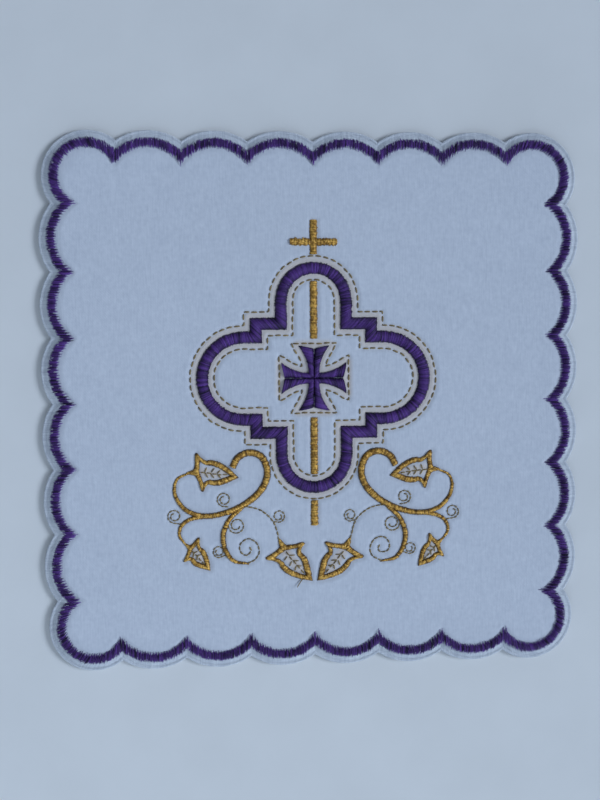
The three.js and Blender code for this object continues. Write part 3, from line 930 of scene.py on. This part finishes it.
def grid_edge():
    """The outermost points of the cloth's grid, anticlockwise from beside the right side's lowest scallop,
    as columns and rows."""
    across, up = GRID_CELLS
    right = [(across, k) for k in range(up)]
    top = [(across - k, up) for k in range(across)]
    left = [(0, up - k) for k in range(up)]
    bottom = [(k, 0) for k in range(across)]
    return np.roll(np.array(right + top + left + bottom), -CORNER_STEPS[0], axis=0)


def cloth_rings(inner):
    """Rings of points from under the cloth, round its rim and over its face to the edge of the grid."""
    count = len(inner)
    under = scallop_ring(RIM_SECTION[0][0])
    rings = [np.column_stack([under * share, np.zeros(count)]) for share in UNDERSIDE_RINGS]
    rings += [np.column_stack([scallop_ring(out), np.full(count, up)]) for out, up in RIM_SECTION]
    face = [scallop_ring(out) for out in EDGE_RINGS]
    for there, steps in ((plain_ring(), PLAIN_RINGS), (inner, JOINING_RINGS)):
        here = face[-1]
        face += [here + (there - here) * share for share in np.arange(1, steps + 1) / steps]
    return rings + [np.column_stack([ring, face_height(ring)]) for ring in face[:-1]]


def cloth_piece():
    """The whole cloth: flat back, rounded rim, and a face that the stitching draws down."""
    columns, rows = GRID_CELLS[0] + 1, GRID_CELLS[1] + 1
    corner = np.array(GRID_CELLS) * GRID_CELL / 2
    cells = np.stack(np.meshgrid(np.arange(columns), np.arange(rows)), -1).reshape(-1, 2)
    spots = cells * GRID_CELL - corner
    grid = np.column_stack([spots, face_height(spots)])
    edge = grid_edge()
    rings = cloth_rings(edge * GRID_CELL - corner)
    vertices = np.concatenate([grid, *rings, [(0, 0, 0)]])

    low = (np.arange(rows - 1)[:, None] * columns + np.arange(columns - 1)).reshape(-1)
    faces = np.stack([low, low + 1, low + columns + 1, low + columns], 1).tolist()
    count = len(edge)
    indices = [len(grid) + k * count + np.arange(count) for k in range(len(rings))]
    indices.append(edge[:, 1] * columns + edge[:, 0])
    for outer, nearer in zip(indices, indices[1:]):
        faces += np.stack([outer, np.roll(outer, -1), np.roll(nearer, -1), nearer], 1).tolist()
    faces += np.stack([np.full(count, len(vertices) - 1), np.roll(indices[0], -1), indices[0]], 1).tolist()

    # Painted highlight, strongest along the edges of the purple work and inside the leaves
    painted_highlight = PAINTED_HIGHLIGHT_SHARE * np.exp(-(apart_from(PAINTED_HIGHLIGHT_TREE, vertices[:, :2]) / OUTLINE_GAP) ** PAINTED_HIGHLIGHT_POWER)
    cloth = mesh_object("pall_cloth", vertices, faces, CLOTH, [("painted_highlight", painted_highlight)])
    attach(cloth, "root")
    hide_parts("cloth_panel")
    return cloth


def band_height(depth):
    """Height of the top of the purple band, a little way in from its outer edge."""
    aside = np.clip(1 - 2 * depth / BAND_WIDTH, 0, 1)
    return FACE_HEIGHT + BAND_RISE * (1 - aside ** ARCH_POWER) + BAND_RADIUS


def rim_piece():
    """White satin stitches over the rim, from under the purple band round the edge, and a few fine ones
    that catch down the ends of the purple stitches."""
    work = Stitching(**PLAIN_TONES)
    lines = EdgeLines(RIM_PITCH)
    count = len(lines.radius)
    ragged = RNG.normal(0, RIM_RAGGED, count)
    paths = []
    for out, up in RIM_STITCH:
        paths.append(np.column_stack([lines.at(out + ragged), up + RNG.normal(0, RIM_UNEVEN, count)]))
    work.add(np.stack(paths, 1), RIM_RADIUS)

    caught = EdgeLines(BAND_PITCH).chosen(RNG, CATCH_SHARE)
    depth = RNG.uniform(*CATCH_DEPTHS, len(caught.radius))
    paths = []
    for share in np.linspace(0, 1, CATCH_STEPS):
        inwards = share * (depth + CATCH_START) - CATCH_START
        paths.append(np.column_stack([caught.at(-inwards), band_height(inwards)]))
    work.add(np.stack(paths, 1), CATCH_RADIUS)
    return work.piece("rim_stitches", WHITE_THREAD, "white_cloth")


def band_piece():
    """Purple stitches along the scallops: close and parallel, ragged outside and feathered inside."""
    lines = EdgeLines(BAND_PITCH)
    count = len(lines.radius)
    outer = lines.at(RNG.normal(BAND_BEYOND, BAND_RAGGED, count))
    longest, shortest = BAND_FEATHER
    slits = np.where(RNG.uniform(size=count) < BAND_SLITS, RNG.uniform(*BAND_SLIT_LENGTHS, count), 0)
    short = (np.arange(count) % BAND_COMB / (BAND_COMB - 1) + RNG.uniform(size=count)) / 2
    inner = lines.at(longest + (shortest - longest) * short + slits)
    rise = BAND_RISE * RNG.uniform(*BAND_RISE_SPREAD, count)
    work = Stitching(**BAND_TONES)
    work.add(straight_stitches(outer, inner, rise), BAND_RADIUS, BAND_TIP)
    return work.piece("band_stitches", PURPLE_THREAD, "purple_thread", "scalloped_band")


def foil_piece():
    """The quatrefoil: satin stitches across its ribbon."""
    work = Stitching(**ORNAMENT_TONES)
    outer, inner = closed(foil_ring(0.0)), closed(foil_ring(-FOIL_RIBBON))
    work.add(satin(outer, inner, SATIN_PITCH, ORNAMENT_RISE, FOIL_ROUGH), THREAD_RADIUS)
    return work.piece("quatrefoil_stitches", PURPLE_THREAD, "purple_thread", "quatrefoil")


def flare_piece():
    """The small cross: each arm in two halves whose stitches meet along its middle."""
    work = Stitching(**ORNAMENT_TONES)
    edge = flare_edge()
    middle = np.linspace((0, 0), (FLARE_ARM - FLARE_END_DIP, 0), len(edge))
    for turn in range(4):
        for flip in (1, -1):
            a = turned(edge * (1, flip), 90 * turn) + (0, FOIL_Y)
            b = turned(middle, 90 * turn) + (0, FOIL_Y)
            work.add(satin(a, b, SATIN_PITCH, FLARE_RISE, FLARE_ROUGH), THREAD_RADIUS)
    return work.piece("flared_cross_stitches", PURPLE_THREAD, "purple_thread", "flared_cross")


def bar(low, high, rough):
    """A straight satin bar of the gold cross, between the middles of its two ends."""
    route = np.linspace(low, high, BAR_POINTS)
    aside = left_of(route) * SHAFT_WIDTH / 2
    beyond = (BAR_BEYOND, BAR_BEYOND)
    return satin(route + aside, route - aside, SATIN_PITCH, CROSS_RISE, rough, beyond)


def gold_cross_piece():
    """The gold cross: the stretches of its shaft, and a crossbar in two halves."""
    work = Stitching(**CROSS_TONES)
    for low, high in cross_stretches():
        work.add(bar((0, low), (0, high), SHAFT_ROUGH), THREAD_RADIUS)
    for side in (1, -1):
        near, far = (side * width / 2 for width in (SHAFT_WIDTH, CROSSBAR_WIDTH))
        work.add(bar((near, CROSSBAR_Y), (far, CROSSBAR_Y), CROSSBAR_ROUGH), THREAD_RADIUS)
    nodes = ["gold_cross_head", "gold_cross_upper_shaft", "gold_cross_lower_shaft", "gold_cross_foot"]
    return work.piece("gold_cross_stitches", GOLD_THREAD, "gold_thread", *nodes)


def stem_stitches(stem, side):
    """Satin stitches across a stem, whose width runs smoothly through its three widths."""
    route = smooth_route(placed(stem["points"], side), STEM_POINTS)
    t = np.linspace(0, 1, len(route))
    start, middle, end = stem["widths"]
    width = start * (1 - t) * (1 - 2 * t) + middle * 4 * t * (1 - t) + end * t * (2 * t - 1)
    aside = left_of(route) * ((STEM_FULLNESS * width - STEM_TRIM) / 2)[:, None]
    return satin(route + aside, route - aside, SATIN_PITCH, VINE_RISE, VINE_ROUGH)


def leaf_stitches(leaf, side, flip):
    """One half of a leaf, worked from its edge to the midrib or to the bare cloth in its middle."""
    edges = (on_leaf(leaf, shares * (1, flip), side) for shares in (LEAF_EDGE, LEAF_INSIDE))
    return satin(*edges, LEAF_PITCH, VINE_RISE, VINE_ROUGH, beyond=(LEAF_OUTWARD, leaf["inward"]))


def vine_piece(side, name, node):
    """One gold spray: its stems and both halves of each leaf."""
    work = Stitching(**VINE_TONES)
    for stem in STEMS:
        work.add(stem_stitches(stem, side), FINE_RADIUS)
    for leaf in LEAVES:
        for flip in (1, -1):
            work.add(leaf_stitches(leaf, side, flip), FINE_RADIUS)
    return work.piece(name, GOLD_THREAD, "gold_thread", node)


def vein_routes(leaf, side):
    """A leaf's midrib and its pairs of veins."""
    routes = [on_leaf(leaf, [(along, 0) for along in LEAF_MIDRIB], side)]
    for vein in LEAF_VEINS[:leaf["veins"]]:
        for flip in (1, -1):
            routes.append(on_leaf(leaf, [(vein["start"], 0), (vein["end"], flip * vein["half"])], side))
    return routes


def runs_piece():
    """All the running stitch: outlines round the purple work, thin stems, curls, veins and a loose end."""
    runs = [(route, OUTLINE_RUN) for route in OUTLINES]
    for side in (1, -1):
        runs += [(smooth_route(placed(stem["points"], side), ROUTE_POINTS), STEM_RUN) for stem in THIN_STEMS]
        runs += [(curl_route(curl, side), CURL_RUN) for curl in CURLS]
        for leaf in LEAVES:
            runs += [(evenly(route, VEIN_POINTS), VEIN_RUN) for route in vein_routes(leaf, side)]
    work = Stitching(**PLAIN_TONES)
    for route, run in runs:
        work.add(running(route, run), run["radius"])
    loose = smooth_route(LOOSE_END, LOOSE_POINTS)
    height = face_height(loose) + np.linspace(*LOOSE_HEIGHTS, len(loose))
    work.add(np.column_stack([loose, height])[None], LOOSE_RADIUS)
    return work.piece("running_stitches", PAINTED_SHADE_GOLD_THREAD, "gold_thread")


def make_floor():
    """Plain pale paper, just under the pall."""
    material, shader = node_material("floor_paper", Roughness=0.8)
    n = Nodes(material)
    n.link(n.ramp(n.noise(n.place(), FLOOR_SCALE, detail=6.0), *FLOOR_TONES), shader.inputs["Base Color"])
    bpy.ops.mesh.primitive_plane_add(size=FLOOR_SIZE, location=(0, 0, -FLOOR_DROP))
    floor = bpy.context.object
    floor.name = "floor"
    floor.data.materials.append(material)


def make_room(scene):
    """A pale room, dimmer overhead than at the horizon."""
    world = bpy.data.worlds.new("studio")
    scene.world = world
    world.use_nodes = True
    n = Nodes(world)
    up = n.axes(n.place("Generated"))["Z"]
    n.link(n.ramp(up, *ROOM_TONES), world.node_tree.nodes["Background"].inputs["Color"])


def make_lights():
    """A soft key light from the right and a wide fill light from the front, both aimed at the pall."""
    key = bpy.data.lights.new("key_light", "SUN")
    key.angle = math.radians(KEY_DEGREES)
    key.energy = KEY_ENERGY
    key.color = KEY_COLOUR
    fill = bpy.data.lights.new("fill_light", "AREA")
    fill.size = FILL_SIZE
    fill.energy = FILL_ENERGY
    fill.color = FILL_COLOUR
    for data, place in ((key, KEY_PLACE), (fill, FILL_PLACE)):
        light = bpy.data.objects.new(data.name, data)
        aim = (-Vector(place)).to_track_quat("-Z", "Y").to_matrix().to_4x4()
        light.matrix_world = Matrix.Translation(place) @ aim
        bpy.context.collection.objects.link(light)


def make_camera(scene):
    """The photo's camera."""
    camera = bpy.data.objects.new("camera", bpy.data.cameras.new("camera"))
    camera.data.lens = CAMERA_LENS
    camera.data.sensor_width = CAMERA_SENSOR
    camera.data.clip_start = CAMERA_NEAR
    rx, ry, rz = (math.radians(a) for a in CAMERA_TURN)
    to_camera = Matrix.Rotation(rz, 3, "Z") @ Matrix.Rotation(ry, 3, "Y") @ Matrix.Rotation(rx, 3, "X")
    camera.matrix_world = Matrix.Translation(Vector(CAMERA_PLACE) * MM) @ to_camera.transposed().to_4x4()
    bpy.context.collection.objects.link(camera)
    scene.camera = camera


def make_stage():
    """Everything round the pall: floor, room, lights and camera."""
    scene = bpy.context.scene
    scene.view_settings.view_transform = "Standard"
    scene.view_settings.look = "None"
    make_floor()
    make_room(scene)
    make_lights()
    make_camera(scene)


make_stage()
cloth_piece()
rim_piece()
band_piece()
foil_piece()
flare_piece()
gold_cross_piece()
vine_piece(-1, "vine_stitches_left", "vine_spray_left")
vine_piece(1, "vine_stitches_right", "vine_spray_right")
runs_piece()
